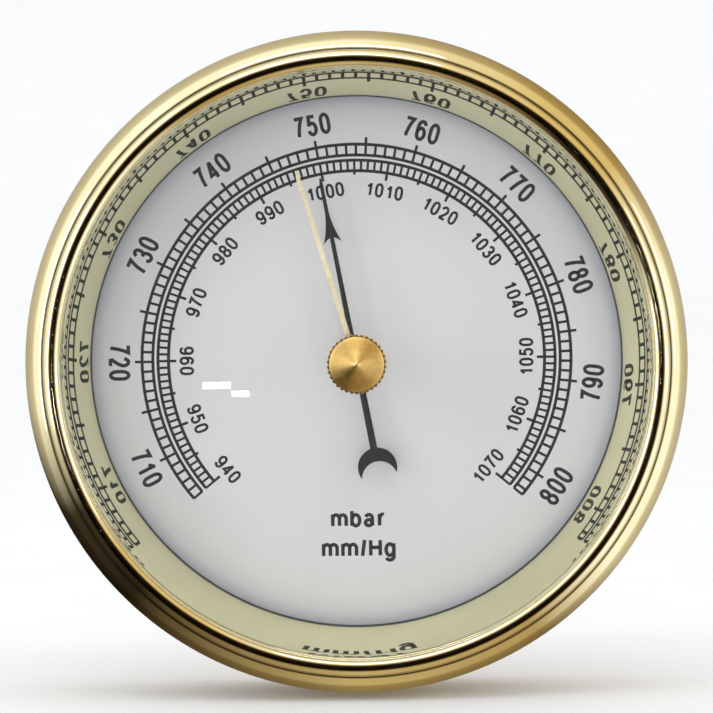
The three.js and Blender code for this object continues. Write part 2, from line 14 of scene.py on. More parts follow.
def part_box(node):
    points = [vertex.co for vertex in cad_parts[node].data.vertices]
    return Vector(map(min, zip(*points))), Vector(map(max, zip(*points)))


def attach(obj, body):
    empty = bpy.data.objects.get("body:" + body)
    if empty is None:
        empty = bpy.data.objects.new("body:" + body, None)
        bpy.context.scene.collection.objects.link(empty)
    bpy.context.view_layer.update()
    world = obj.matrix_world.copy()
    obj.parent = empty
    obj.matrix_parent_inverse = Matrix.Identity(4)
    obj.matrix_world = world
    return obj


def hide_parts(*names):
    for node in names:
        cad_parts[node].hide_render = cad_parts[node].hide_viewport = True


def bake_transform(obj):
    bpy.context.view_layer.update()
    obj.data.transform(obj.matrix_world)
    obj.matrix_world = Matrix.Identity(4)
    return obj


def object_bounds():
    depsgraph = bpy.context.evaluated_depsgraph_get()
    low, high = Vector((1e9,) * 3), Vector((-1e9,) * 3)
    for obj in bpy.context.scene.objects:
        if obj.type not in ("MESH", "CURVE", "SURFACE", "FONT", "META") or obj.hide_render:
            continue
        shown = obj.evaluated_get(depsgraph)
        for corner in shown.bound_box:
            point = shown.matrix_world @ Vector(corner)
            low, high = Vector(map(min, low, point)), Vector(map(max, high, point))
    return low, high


MM = 0.001
TURN = 2 * math.pi
UPRIGHT = Matrix.Rotation(math.pi / 2, 4, "X")  # the reader's x, y and z become X, Z and -Y

SORTED_FROM = (0.3137, 0.4719, 0.2291)  # off every axis, so that hardly two distances are alike

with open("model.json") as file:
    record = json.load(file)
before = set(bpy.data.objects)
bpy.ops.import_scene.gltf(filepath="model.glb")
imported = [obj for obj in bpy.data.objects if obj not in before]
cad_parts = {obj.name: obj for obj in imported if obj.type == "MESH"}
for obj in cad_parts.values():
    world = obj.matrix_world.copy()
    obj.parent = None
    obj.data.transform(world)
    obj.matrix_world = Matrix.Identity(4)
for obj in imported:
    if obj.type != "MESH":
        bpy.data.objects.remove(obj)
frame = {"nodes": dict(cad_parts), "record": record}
cad_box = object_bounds()

BODY_OF = {node: body for body, nodes in frame["record"]["behaviour"]["bodies"].items() for node in nodes}
SLOT_OF = {part["node"]: part["material_slot"] for part in frame["record"]["subparts"]}

DIAL_Z = -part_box("dial_plate")[0].y / MM  # the printed face
PRINT_RISE = 0.45  # of the print above the printed face
CREASE_RADIUS = 60.12  # of the groove between the bezel's two beads
BEZEL_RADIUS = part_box("bezel")[1].x / MM
CASE_FLOOR = 1  # thickness of the drawn sheet
POINTER_TURN = 10.6  # degrees to the left of upright, at rest
SET_HAND_TURN = 17  # the same way

# The scales: millibars with 1005 upright and two degrees to each, and millimetres of mercury beside them.
MILLIBARS = (940, 1070)
DEGREES_PER_MILLIBAR = 2
UPRIGHT_MILLIBARS = 1005
MILLIBARS_PER_MERCURY = 1.33322


def reader(x, y, z):
    return Vector((x, -z, y)) * MM


def levels(node):
    """How far a CAD node starts and ends from the wall, in millimetres."""
    low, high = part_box(node)
    return -high.y / MM, -low.y / MM


# ---- modelling -----------------------------------------------------------------------------------


def clear_selection():
    bpy.ops.object.select_all(action="DESELECT")


def edit(piece):
    bpy.context.view_layer.objects.active = piece
    piece.select_set(True)
    bpy.ops.object.mode_set(mode="EDIT")
    bpy.ops.mesh.select_all(action="SELECT")


def end_edit():
    bpy.ops.object.mode_set(mode="OBJECT")


def name_piece(piece, name):
    piece.name = piece.data.name = name


def settle():
    """Applies the active object's place, turn and scale to its mesh."""
    bpy.ops.object.transform_apply(location=True, rotation=True, scale=True)


def draw_line(name, points):
    """A new mesh in edit mode: a line extruded from point to point, with all of it selected."""
    clear_selection()
    bpy.ops.mesh.primitive_plane_add(size=MM, location=points[0])
    piece = bpy.context.object
    name_piece(piece, name)
    settle()
    edit(piece)
    bpy.ops.mesh.merge(type="CENTER")
    for start, end in zip(points, points[1:]):
        bpy.ops.mesh.extrude_region_move(TRANSFORM_OT_translate={"value": end - start})
    bpy.ops.mesh.select_all(action="SELECT")
    return piece


def weld():
    """Closes a shape and turns it outwards, in a set order, because spin's own order varies."""
    bpy.ops.mesh.select_all(action="SELECT")
    bpy.ops.mesh.remove_doubles(threshold=1e-6)
    bpy.context.scene.cursor.location = SORTED_FROM
    bpy.ops.mesh.sort_elements(type="CURSOR_DISTANCE", elements={"VERT", "EDGE", "FACE"})
    bpy.ops.mesh.normals_make_consistent(inside=False)


def spin_round(steps, angle=TURN, copies=False):
    bpy.ops.mesh.spin(steps=steps, angle=angle, center=(0, 0, 0), axis=(0, 1, 0), dupli=copies)


def turned(name, profile, steps=144):
    """A piece turned about the dial's axis, from a closed profile of (radius, z) points."""
    points = [reader(r, 0, z) for r, z in profile]
    if profile[0][0] > 0 or profile[-1][0] > 0:
        points.append(points[0])
    piece = draw_line(name, points)
    spin_round(steps)
    weld()
    end_edit()
    return piece


def sheet_cut(name, outline, z, thickness):
    """A flat piece with an outline of (x, y) points, from z up to z + thickness."""
    points = [reader(x, y, z) for x, y in outline]
    piece = draw_line(name, points + points[:1])
    bpy.ops.mesh.remove_doubles(threshold=1e-6)
    bpy.ops.mesh.edge_face_add()
    bpy.ops.mesh.extrude_region_move(TRANSFORM_OT_translate={"value": reader(0, 0, thickness)})
    weld()
    end_edit()
    return piece


def use_modifier(piece, kind, **settings):
    """Adds one modifier and applies it."""
    bpy.context.view_layer.objects.active = piece
    modifier = piece.modifiers.new(kind.title(), kind)
    for key, value in settings.items():
        setattr(modifier, key, value)
    bpy.ops.object.modifier_apply(modifier=modifier.name)


def soften(piece, width, segments=2, angle=40):
    use_modifier(piece, "BEVEL", width=width * MM, segments=segments, limit_method="ANGLE",
                 angle_limit=math.radians(angle), use_clamp_overlap=True)


def smooth(piece, angle=35):
    clear_selection()
    piece.select_set(True)
    bpy.context.view_layer.objects.active = piece
    bpy.ops.object.shade_smooth_by_angle(angle=math.radians(angle))


def drill(piece, cutter):
    use_modifier(piece, "BOOLEAN", operation="DIFFERENCE", object=cutter, solver="EXACT")
    bpy.data.objects.remove(cutter)


def fuse(piece, *others):
    for other in others:
        use_modifier(piece, "BOOLEAN", operation="UNION", object=other, solver="EXACT")
        bpy.data.objects.remove(other)


def join(pieces, name):
    clear_selection()
    for piece in pieces:
        piece.select_set(True)
    bpy.context.view_layer.objects.active = pieces[0]
    bpy.ops.object.join()
    name_piece(pieces[0], name)
    return pieces[0]


def round_bar(name, radius, low, high, x=0, y=0, sides=48):
    """A plain round bar or cutter that stands along the dial's axis."""
    clear_selection()
    bpy.ops.mesh.primitive_cylinder_add(vertices=sides, radius=radius * MM, depth=(high - low) * MM,
                                        location=reader(x, y, (low + high) / 2), rotation=(math.pi / 2, 0, 0))
    piece = bpy.context.object
    name_piece(piece, name)
    settle()
    return piece


def block(name, width, height, low, high, x=0, y=0):
    clear_selection()
    bpy.ops.mesh.primitive_cube_add(size=1, location=reader(x, y, (low + high) / 2))
    piece = bpy.context.object
    piece.scale = Vector((width, high - low, height)) * MM
    name_piece(piece, name)
    settle()
    return piece


def oval(centre, wide, high, start, end, steps):
    """Points of an elliptical arc in a profile, from one angle to another in degrees."""
    turns = [math.radians(start + (end - start) * i / steps) for i in range(steps + 1)]
    return [(centre[0] + wide * math.cos(t), centre[1] + high * math.sin(t)) for t in turns]


def bend(start, control, end, steps=10):
    """Points of a quadratic curve, without its first point."""
    points = []
    for i in range(1, steps + 1):
        t = i / steps
        points.append(tuple((1 - t) ** 2 * a + 2 * t * (1 - t) * b + t * t * c
                            for a, b, c in zip(start, control, end)))
    return points


def rotated(points, degrees):
    t = math.radians(degrees)
    return [(x * math.cos(t) - y * math.sin(t), x * math.sin(t) + y * math.cos(t)) for x, y in points]


def fit_in(piece, finish, *nodes, body=None, flexes=None):
    """The piece takes its finish, rides on its body or, when it flexes, keeps its place baked into its mesh,
    and stands for its nodes.
    """
    piece.data.materials.clear()
    piece.data.materials.append(finish.material)
    if flexes:
        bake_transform(piece)
    else:
        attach(piece, body or BODY_OF[nodes[0]])
    if nodes:
        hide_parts(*nodes)


# ---- finishes ------------------------------------------------------------------------------------


class Value:
    """One output of a shader node, on which sums can be written."""

    def __init__(self, finish, socket):
        self.finish, self.socket = finish, socket

    def sum(self, operation, left, right):
        return self.finish.node("Math", {"operation": operation}, {0: left, 1: right})

    def __add__(self, other):
        return self.sum("ADD", self, other)

    def __sub__(self, other):
        return self.sum("SUBTRACT", self, other)

    def __rsub__(self, other):
        return self.sum("SUBTRACT", other, self)

    def __mul__(self, other):
        return self.sum("MULTIPLY", self, other)

    def __pow__(self, other):
        return self.sum("POWER", self, other)

    __radd__, __rmul__ = __add__, __mul__


class Finish:
    """A material whose shader is built from sums and nodes."""

    def __init__(self, name, **sockets):
        self.material = bpy.data.materials.new(name)
        self.material.use_nodes = True
        self.tree = self.material.node_tree
        self.shader = self.tree.nodes["Principled BSDF"]
        for key, value in sockets.items():
            self.set(key.replace("_", " "), value)

    def put(self, socket, value):
        if isinstance(value, Value):
            self.tree.links.new(value.socket, socket)
        elif isinstance(value, tuple) and socket.type == "RGBA":
            socket.default_value = (*value, 1)[:4]
        else:
            socket.default_value = value

    def set(self, name, value):
        self.put(self.shader.inputs[name], value)

    def node(self, kind, settings=None, sockets=None, out=0):
        made = self.tree.nodes.new("ShaderNode" + kind)
        for key, value in (settings or {}).items():
            if key == "stops":
                ramp = made.color_ramp.elements
                while len(ramp) < len(value):
                    ramp.new(0.5)
                for stop, (place, shade) in zip(ramp, value):
                    stop.position, stop.color = place, (shade, shade, shade, 1)
            else:
                setattr(made, key, value)
        for key, value in (sockets or {}).items():
            self.put(made.inputs[key], value)
        return Value(self, made.outputs[out])

    def place(self):
        return self.node("TexCoord", out="Object")

    def noise(self, size, detail=3, stretch=(1, 1, 1)):
        """Noise from 0 to 1, with lumps of about that size in millimetres."""
        vector = self.node("Mapping", sockets={"Vector": self.place(), "Scale": stretch})
        return self.node("TexNoise", sockets={"Vector": vector, "Scale": 1 / (size * MM), "Detail": detail})

    def radius(self):
        """The distance from the dial's axis."""
        flat = self.node("VectorMath", {"operation": "MULTIPLY"}, {0: self.place(), 1: (1, 0, 1)})
        return self.node("VectorMath", {"operation": "LENGTH"}, {0: flat}, out="Value")

    def turning(self, size):
        """Marks of a tool, as rings of about that width in millimetres round the dial's axis."""
        return self.node("TexNoise", {"noise_dimensions": "1D"},
                         {"W": self.radius(), "Scale": 1 / (size * MM), "Detail": 2})

    def ramp(self, value, *stops):
        return self.node("ValToRGB", {"stops": stops}, {"Fac": value})

    def blend(self, share, first, second):
        return self.node("Mix", {"data_type": "RGBA"}, {0: share, 6: first, 7: second}, out=2)

    def bump(self, height, depth, strength=1):
        """Raises the surface by that height, with a full depth in millimetres."""
        self.set("Normal", self.node("Bump", sockets={"Height": height, "Distance": depth * MM,
                                                      "Strength": strength}))


def metal_finish(name, dark, light, rough, grain, lines=None, depth=0.004, coat=0.0):
    """Metal whose colour and roughness wander a little, with tool marks or a fine grain."""
    finish = Finish(name, Metallic=1.0, Coat_Weight=coat, Coat_Roughness=0.04)
    cloud = finish.ramp(finish.noise(grain, 4), (0.35, 0), (0.7, 1))
    finish.set("Base Color", finish.blend(cloud, dark, light))
    marks = finish.turning(lines) if lines else finish.noise(0.25, 4)
    wear = finish.noise(grain / 4, 5)
    finish.set("Roughness", rough * 0.7 + marks * (rough * 0.4) + wear * (rough * 0.3))
    finish.bump(marks, depth)
    return finish


def polished_brass_finish():
    """Spun brass, buffed and lacquered, with painted shade darkening the crease between its beads."""
    finish = Finish("polished brass", Metallic=1.0, Coat_Weight=0.25, Coat_Roughness=0.03)
    cloud = finish.ramp(finish.noise(14, 3), (0.35, 0), (0.65, 1))
    gold = finish.blend(cloud, (0.86, 0.78, 0.5), (0.92, 0.86, 0.6))
    from_crease = finish.node("Math", {"operation": "ABSOLUTE"}, {0: finish.radius() - CREASE_RADIUS * MM})
    # Painted shade: near black is blended, in patches, into the crease between the beads where they shade it.
    painted_crease_shade = finish.ramp(from_crease * 1000, (0.0, 1), (0.14, 1), (0.26, 0))
    patchy_crease_shade = painted_crease_shade * finish.ramp(finish.noise(6, 3), (0.3, 0.88), (0.6, 1))
    finish.set("Base Color", finish.blend(patchy_crease_shade, gold, (0.012, 0.009, 0.006)))
    buffing = finish.turning(0.15)
    haze = finish.ramp(finish.noise(4, 6), (0.45, 0), (0.8, 1))
    finish.set("Roughness", 0.045 + buffing * 0.03 + haze * 0.05 + patchy_crease_shade * 0.3)
    finish.bump(buffing, 0.0006)
    return finish


def mirror_brass_finish():
    finish = Finish("mirror ring", Metallic=1.0)
    cloud = finish.ramp(finish.noise(9, 3), (0.3, 0), (0.7, 1))
    mirror = finish.blend(cloud, (0.8, 0.77, 0.48), (0.84, 0.81, 0.53))
    height = finish.node("SeparateXYZ", sockets={0: finish.place()}, out="Y")
    # Painted shade: the ring's foot below the slope is painted near black and rough, standing in for the
    # shadow between ring and dial.
    foot = finish.ramp(1 + height * 10, (0.7365, 0), (0.7375, 1))
    finish.set("Base Color", finish.blend(foot, mirror, (0.02, 0.02, 0.018)))
    lines = finish.turning(0.2)
    finish.set("Roughness", 0.015 + lines * 0.02 + foot * 0.5)
    finish.bump(lines, 0.0003)
    return finish


def white_enamel_finish():
    finish = Finish("white enamel", Specular_IOR_Level=0.4)
    cloud = finish.noise(20, 3)
    middle = finish.blend(cloud, (0.83, 0.835, 0.86), (0.86, 0.865, 0.885))
    # Painted shade: the dial greys towards its rim, where the mirror ring shades it.
    edge = finish.ramp(finish.radius() * 10, (0.45, 0), (0.49, 0.2), (0.518, 0.8))
    finish.set("Base Color", finish.blend(edge, middle, (0.48, 0.49, 0.54)))
    peel = finish.noise(0.35, 3)
    finish.set("Roughness", 0.32 + peel * 0.12)
    finish.bump(peel, 0.003)
    return finish


def ink_finish():
    finish = Finish("printing ink", Specular_IOR_Level=0.15)
    cover = finish.ramp(finish.noise(0.25, 4), (0.3, 0), (0.7, 1))
    finish.set("Base Color", finish.blend(cover, (0.013, 0.014, 0.017), (0.008, 0.009, 0.011)))
    finish.set("Roughness", 0.45 + cover * 0.15)
    finish.bump(cover, 0.001)
    return finish


def black_paint_finish():
    finish = Finish("black paint", Specular_IOR_Level=0.12)
    peel = finish.noise(0.3, 4)
    finish.set("Base Color", finish.blend(peel, (0.004, 0.004, 0.005), (0.011, 0.011, 0.012)))
    finish.set("Roughness", 0.36 + peel * 0.2)
    finish.bump(peel, 0.003)
    return finish


def knob_brass_finish():
    """Satin brass with the facing tool's rings, rubbed brighter on the point and the rim."""
    finish = Finish("turned knob brass", Metallic=1.0)
    rubbed = finish.ramp(finish.radius() * 100, (0.0, 1), (0.12, 0.25), (0.46, 0.0), (0.575, 0.9))
    grain = finish.ramp(finish.noise(0.6, 5), (0.3, 0), (0.7, 1))
    dull = finish.blend(grain, (0.5, 0.33, 0.1), (0.66, 0.46, 0.17))
    finish.set("Base Color", finish.blend(rubbed, dull, (0.78, 0.6, 0.28)))
    rings = finish.turning(0.16)
    finish.set("Roughness", 0.3 + rings * 0.16 + grain * 0.1 - rubbed * 0.1)
    finish.bump(rings + finish.noise(0.12, 3) * 0.4, 0.02)
    return finish


def soft_finish(name, dark, light, rough, size):
    """Rubber or plastic, with a moulded grain."""
    finish = Finish(name, Specular_IOR_Level=0.35)
    grain = finish.noise(size, 5)
    finish.set("Base Color", finish.blend(grain, dark, light))
    finish.set("Roughness", rough + grain * 0.15)
    finish.bump(grain, size / 20)
    return finish


def crystal_finish():
    """Clear glass, which lets the lamps through to the dial."""
    finish = Finish("crystal", Base_Color=(0.985, 0.99, 0.995), Transmission_Weight=1.0, IOR=1.5,
                    Roughness=0.0)
    smear = finish.ramp(finish.noise(18, 4), (0.5, 0), (0.9, 1))
    finish.set("Roughness", smear * 0.02)
    clear = finish.node("BsdfTransparent", sockets={"Color": (0.96, 0.965, 0.97)})
    to_lamp = finish.node("LightPath", out="Is Shadow Ray")
    glass = Value(finish, finish.shader.outputs[0])
    mixed = finish.node("MixShader", sockets={0: to_lamp, 1: glass, 2: clear})
    finish.put(finish.tree.nodes["Material Output"].inputs["Surface"], mixed)
    return finish


polished_brass = polished_brass_finish()
mirror_brass = mirror_brass_finish()
white_enamel = white_enamel_finish()
ink = ink_finish()
black_paint = black_paint_finish()
knob_brass = knob_brass_finish()
crystal_glass = crystal_finish()
case_brass = metal_finish("drawn case brass", (0.7, 0.5, 0.22), (0.84, 0.64, 0.32), 0.24, 16,
                          lines=0.25, depth=0.002, coat=0.15)
satin_brass = metal_finish("satin brass", (0.6, 0.42, 0.17), (0.74, 0.55, 0.26), 0.34, 5)
pale_gold = metal_finish("pale gold", (0.8, 0.66, 0.4), (0.92, 0.8, 0.56), 0.22, 3, depth=0.002)
steel = metal_finish("turned steel", (0.45, 0.46, 0.48), (0.62, 0.63, 0.65), 0.3, 4)
blued_steel = metal_finish("blued steel", (0.05, 0.08, 0.2), (0.13, 0.2, 0.42), 0.28, 4)
capsule_bronze = metal_finish("capsule bronze", (0.62, 0.4, 0.22), (0.76, 0.53, 0.33), 0.3, 6, lines=0.3)
black_rubber = soft_finish("black rubber", (0.012, 0.012, 0.012), (0.03, 0.03, 0.03), 0.7, 0.5)
pale_nylon = soft_finish("pale nylon", (0.7, 0.66, 0.55), (0.8, 0.77, 0.68), 0.45, 0.4)

SLOT_FINISH = {
    "satin_brass": satin_brass,
    "plain_steel": steel,
    "spring_steel": blued_steel,
    "capsule_bronze": capsule_bronze,
    "black_rubber": black_rubber,
    "pale_nylon": pale_nylon,
}


# ---- case, bezel and glass -----------------------------------------------------------------------


def make_case():
    """The drawn case, with its keyhole, a hole over the adjusting screw and two vents."""
    side, corner, flange, front = 58.6, 5, 62.4, 28.2
    inside = side - CASE_FLOOR
    outline = [(0, 0), (side - corner, 0)]
    outline += oval((side - corner, corner), corner, corner, -90, 0, 14)[1:]
    outline += [(side, 24.2), *oval((side + 0.8, 26.4), 0.8, 0.8, 180, 90, 5)]
    outline += [(flange - 0.25, 27.2), (flange, 27.45), (flange, front - 0.25), (flange - 0.25, front)]
    outline += [(inside + 0.3, front), (inside, front - 0.3)]
    outline += oval((side - corner, corner), corner - CASE_FLOOR, corner - CASE_FLOOR, 0, -90, 12)
    outline += [(0, CASE_FLOOR)]
    case = turned("drawn_case", outline, steps=180)
    head = round_bar("cutter", 4.75, -3, 3, y=41)
    slot = block("slot cutter", 5, 5, -3, 3, y=43.5)
    end = round_bar("end cutter", 2.5, -3, 3, y=46)
    fuse(head, slot, end)
    drill(case, head)
    drill(case, round_bar("cutter", 3.7, -3, 3, y=-27))
    for x in (-14, 14):
        drill(case, round_bar("cutter", 1.3, -3, 3, x=x, y=-27, sides=32))
    edit(case)
    bpy.ops.mesh.remove_doubles(threshold=2e-5)
    bpy.ops.mesh.dissolve_degenerate(threshold=2e-5)
    bpy.ops.mesh.select_all(action="SELECT")
    bpy.ops.mesh.dissolve_limited(angle_limit=math.radians(0.3))
    end_edit()
    soften(case, 0.12, 2, 50)
    smooth(case, 30)
    use_modifier(case, "WEIGHTED_NORMAL", keep_sharp=True, weight=80)
    fit_in(case, case_brass, "rear_case")


def make_bezel():
    """Spun in one piece: a half-round bead over the lip, a crease, and a broad bead behind it."""
    lip = levels("crystal")[1] - 0.3  # the crystal is lower at its edge than in the middle
    outline = [(57.35, lip), (56.75, lip), (56.6, lip + 0.12)]
    outline += oval((58.3, 39.35), 1.72, 1.8, 180, 8, 30)
    outline += oval((59.75, 30), BEZEL_RADIUS - 59.75, 8.75, 84, 0, 34)
    outline += [(BEZEL_RADIUS, 28.6)]
    outline += oval((BEZEL_RADIUS - 2.4, 28.3), 2.4, 2.4, 0, -80, 14)
    outline += [(60.9, 25.9), (60.6, 26.1), (60.6, 26.45), (60.8, 26.6)]
    outline += oval((BEZEL_RADIUS - 2.4, 28.3), 1.7, 1.7, -80, 0, 8)
    outline += oval((59.75, 30), BEZEL_RADIUS - 59.75 - 0.7, 8.05, 0, 80, 16)
    outline += oval((58.3, 39.35), 1.05, 1.1, 0, 180, 12)
    bezel = turned("spun_bezel", outline, steps=200)
    smooth(bezel, 40)
    fit_in(bezel, polished_brass, "bezel")


def make_reflector():
    """A mirror cone that slopes down to the dial, on a leg that stands on the case's flange."""
    top, foot = levels("reflector_ring")[1], DIAL_Z + 0.12
    rises = [1.2 * i for i in range(9)]
    slope = [(51.7 + 0.495 * rise + 0.001 * rise ** 2, 26.4 + rise) for rise in rises]
    outline = [(51.6, foot), (51.47, foot + 0.12), (51.62, 26.1), *slope]
    outline += [(56.72, top - 0.12), (56.95, top), (60.4, top), (60.8, top - 0.2), (60.9, top - 0.6)]
    outline += [(60.9, 28.35), (60.4, 28.35), (60.4, top - 0.8), (60.2, top - 0.55), (57.2, top - 0.55)]
    outline += [(r + 0.5, z - 0.3) for r, z in reversed(slope)] + [(52.15, 26.0), (52.15, foot)]
    ring = turned("mirror_ring", outline, steps=200)
    smooth(ring, 32)
    fit_in(ring, mirror_brass, "reflector_ring")


def make_crystal():
    low = levels("crystal")[0]
    edge, hole, rise, thick = 58.4, 1.6, 0.5, 1.9
    under = [(r, low + rise * (1 - (r / edge) ** 2)) for r in (1.8, 8, 16, 24, 32, 40, 48, 54, 58.15)]
    over = [(r, z + thick) for r, z in reversed(under)]
    outline = [(hole, under[0][1] + 0.2), *under, (edge, low + 0.25), (edge, low + thick - 0.25), *over]
    outline += [(hole, over[-1][1] - 0.2)]
    crystal = turned("domed_crystal", outline, steps=180)
    smooth(crystal, 30)
    fit_in(crystal, crystal_glass, "crystal")
    gasket_low, gasket_high = levels("crystal_gasket")
    middle, half = (gasket_low + gasket_high) / 2, (gasket_high - gasket_low) / 2
    gasket = turned("rubber_gasket", oval((57.4, middle), half, half, 90, 270, 10)
                    + oval((58.4, middle), half, half, -90, 90, 10), steps=150)
    smooth(gasket)
    fit_in(gasket, black_rubber, "crystal_gasket")


# ---- dial ----------------------------------------------------------------------------------------


def make_dial_plate():
    back, edge = DIAL_Z - 0.6, 57
    plate = turned("enamelled_dial", [(2, back), (edge - 0.1, back), (edge, back + 0.1), (edge, DIAL_Z - 0.1),
                                  (edge - 0.1, DIAL_Z), (2.1, DIAL_Z), (2, DIAL_Z - 0.1)], steps=150)
    smooth(plate, 30)
    fit_in(plate, white_enamel, "dial_plate")


def angle_of(millibars):
    """Degrees clockwise from upright."""
    return (millibars - UPRIGHT_MILLIBARS) * DEGREES_PER_MILLIBAR


def raise_print(piece):
    """The print sits a little high on its plate."""
    piece.data.transform(Matrix.Translation((0, 0, PRINT_RISE * MM)))


def at_angle(piece, degrees):
    """Turns a piece's mesh clockwise about the dial's axis, as it is read."""
    piece.data.transform(Matrix.Rotation(math.radians(degrees), 4, "Y"))


def arc_line(radius, width):
    """A printed line along the scale's whole arc, spun back from its end."""
    points = [reader(0, radius - width / 2, DIAL_Z), reader(0, radius + width / 2, DIAL_Z)]
    line = draw_line("arc line", points)
    start, end = angle_of(MILLIBARS[0]), angle_of(MILLIBARS[1])
    spin_round(260, math.radians(end - start))
    end_edit()
    at_angle(line, end)
    return line


def tick_marks(inner, outer, width, first, step, count):
    """Radial marks, the first at a reading in millibars and each a step in millibars further on."""
    clear_selection()
    bpy.ops.mesh.primitive_plane_add(size=1, location=reader(0, (inner + outer) / 2, DIAL_Z),
                                     rotation=(math.pi / 2, 0, 0))
    mark = bpy.context.object
    mark.scale = Vector((width, outer - inner, 1)) * MM
    settle()
    marks = [mark]
    for i in range(1, count):
        clear_selection()
        copy = mark.copy()
        copy.data = mark.data.copy()
        bpy.context.collection.objects.link(copy)
        at_angle(copy, angle_of(first + i * step))
        marks.append(copy)
    at_angle(mark, angle_of(first))
    return marks


def print_scales():
    """Two ladders of ring lines and ticks, millimetres of mercury outside and millibars inside."""
    low, high = MILLIBARS
    first_mercury = math.ceil(low / MILLIBARS_PER_MERCURY)
    last_mercury = math.floor(high / MILLIBARS_PER_MERCURY)
    step = MILLIBARS_PER_MERCURY
    outer = [arc_line(41.75, 0.6), arc_line(39.65, 0.58)]
    outer += tick_marks(39.6, 41.8, 0.5, low, high - low, 2)
    outer += tick_marks(39.6, 41.8, 0.5, first_mercury * step, step, last_mercury - first_mercury + 1)
    fives = -(-first_mercury // 5) * 5
    outer += tick_marks(41.8, 43.15, 0.52, fives * step, 5 * step, (last_mercury - fives) // 5 + 1)
    inner = [arc_line(38.65, 0.58), arc_line(36.6, 0.6)]
    inner += tick_marks(36.55, 38.7, 0.46, low, 1, high - low + 1)
    inner += tick_marks(35.1, 36.6, 0.52, low, 10, (high - low) // 10 + 1)
    inner += tick_marks(35.85, 36.6, 0.5, low + 5, 10, (high - low) // 10)
    for name, lines in (("mercury_scale", outer), ("millibar_scale", inner)):
        scale = join(lines, name)
        edit(scale)
        bpy.ops.mesh.normals_make_consistent(inside=False)
        end_edit()
        use_modifier(scale, "SOLIDIFY", thickness=0.03 * MM, offset=0)
        edit(scale)
        bpy.ops.mesh.normals_make_consistent(inside=False)
        end_edit()
        raise_print(scale)
        fit_in(scale, ink, body="case")


def strokes(letter):
    """The middle lines of a letter's strokes, in a box from -1 to 1 across and from 0 to 1 up."""
    if letter == "9":
        return [[(-x, 1 - y) for x, y in line] for line in strokes("6")]
    round_o = [(-1, 0.5), *oval((0, 0.66), 1, 0.34, 180, 0, 12)]
    round_o += [*oval((0, 0.34), 1, 0.34, 0, -180, 12), (-1, 0.5)]
    bowl = oval((0, 0.37), 1, 0.37, 180, -180, 24)
    hook = oval((0, 0.72), 0.95, 0.28, 172, -25, 12)
    arch = [(-1, 0.5), *oval((-0.5, 0.5), 0.5, 0.24, 180, 0, 9), (0, 0)]
    return {
        "0": [round_o],
        "1": [[(0.45, 0), (0.45, 1)], [(0.45, 0.95), *bend((0.45, 0.95), (0.05, 0.76), (-0.6, 0.7), 6)]],
        "2": [[*hook, *bend(hook[-1], (0.45, 0.36), (-0.9, 0.04), 6)], [(-1, 0), (1, 0)]],
        "3": [[*oval((0, 0.755), 0.88, 0.245, 165, -85, 12), (-0.3, 0.515)],
              oval((0, 0.27), 1, 0.27, 75, -168, 14)],
        "4": [[(0.5, 0), (0.5, 1)], [(0.5, 1), (-1, 0.27), (1.1, 0.27)]],
        "5": [[(0.9, 1), (-0.62, 1), (-0.8, 0.48)], oval((-0.03, 0.32), 1, 0.32, 142, -165, 16)],
        "6": [oval((0, 0.31), 1, 0.31, 180, -180, 24),
              [*oval((0.02, 0.7), 0.98, 0.3, 22, 180, 12), (-1, 0.3)]],
        "7": [[(-1, 1), (1, 1), *bend((1, 1), (0, 0.62), (-0.3, 0), 7)]],
        "8": [oval((0, 0.755), 0.86, 0.245, 180, -180, 22), oval((0, 0.26), 1, 0.26, 180, -180, 22)],
        "m": [[(-1, 0), (-1, 0.78)], arch, [(x + 1, y) for x, y in arch]],
        "b": [[(-1, 0), (-1, 1)], bowl],
        "a": [[*oval((-0.1, 0.54), 0.85, 0.2, 165, 0, 10), (0.75, 0.12), (0.95, 0)],
              oval((-0.15, 0.2), 0.85, 0.2, 180, -180, 18)],
        "r": [[(-0.8, 0), (-0.8, 0.78)], [(-0.8, 0.4), *oval((0.4, 0.4), 1.15, 0.36, 170, 65, 6)]],
        "/": [[(-0.8, -0.02), (0.8, 1.02)]],
        "H": [[(-1, 0), (-1, 1)], [(1, 0), (1, 1)], [(-1, 0.53), (1, 0.53)]],
        "g": [bowl, [(1, 0.78), (1, -0.08), *oval((0, -0.08), 1, 0.22, 0, -160, 12)]],
    }[letter]


def draw_letter(letter, width, height, weight):
    """A letter in the XY plane, each stroke a line raised into a wall and thickened to its weight."""
    half, tall = (width - weight) / 2, height - weight
    bars = []
    for line in strokes(letter):
        points = [Vector((x * half, weight / 2 + y * tall, -0.015)) * MM for x, y in line]
        bar = draw_line("stroke", points)
        bpy.ops.mesh.remove_doubles(threshold=1e-6)
        bpy.ops.mesh.extrude_region_move(TRANSFORM_OT_translate={"value": (0, 0, 0.03 * MM)})
        weld()
        end_edit()
        use_modifier(bar, "SOLIDIFY", thickness=weight * MM, offset=0, use_even_offset=True)
        bars.append(bar)
    return join(bars, "letter " + letter)


WIDTHS = {"m": 1.5, "r": 0.76, "/": 0.55, "H": 1.15}  # of letters that aren't as wide as a figure
drawn_letters = {}


def lettering(words, width, height, weight):
    """Narrow bold lettering in the XY plane, centred on the origin; a letter is drawn once and copied."""
    gap = weight * 0.62
    figure = (width - gap * (len(words) - 1)) / sum(WIDTHS.get(letter, 1) for letter in words)
    letters, left = [], -width / 2
    for letter in words:
        wide = figure * WIDTHS.get(letter, 1)
        key = letter, round(wide, 2), height
        if key not in drawn_letters:
            drawn_letters[key] = draw_letter(letter, wide, height, weight)
        copy = drawn_letters[key].copy()
        copy.data = copy.data.copy()
        bpy.context.collection.objects.link(copy)
        copy.data.transform(Matrix.Translation(Vector((left + wide / 2, -height / 2, 0)) * MM))
        letters.append(copy)
        left += wide + gap
    return join(letters, words)


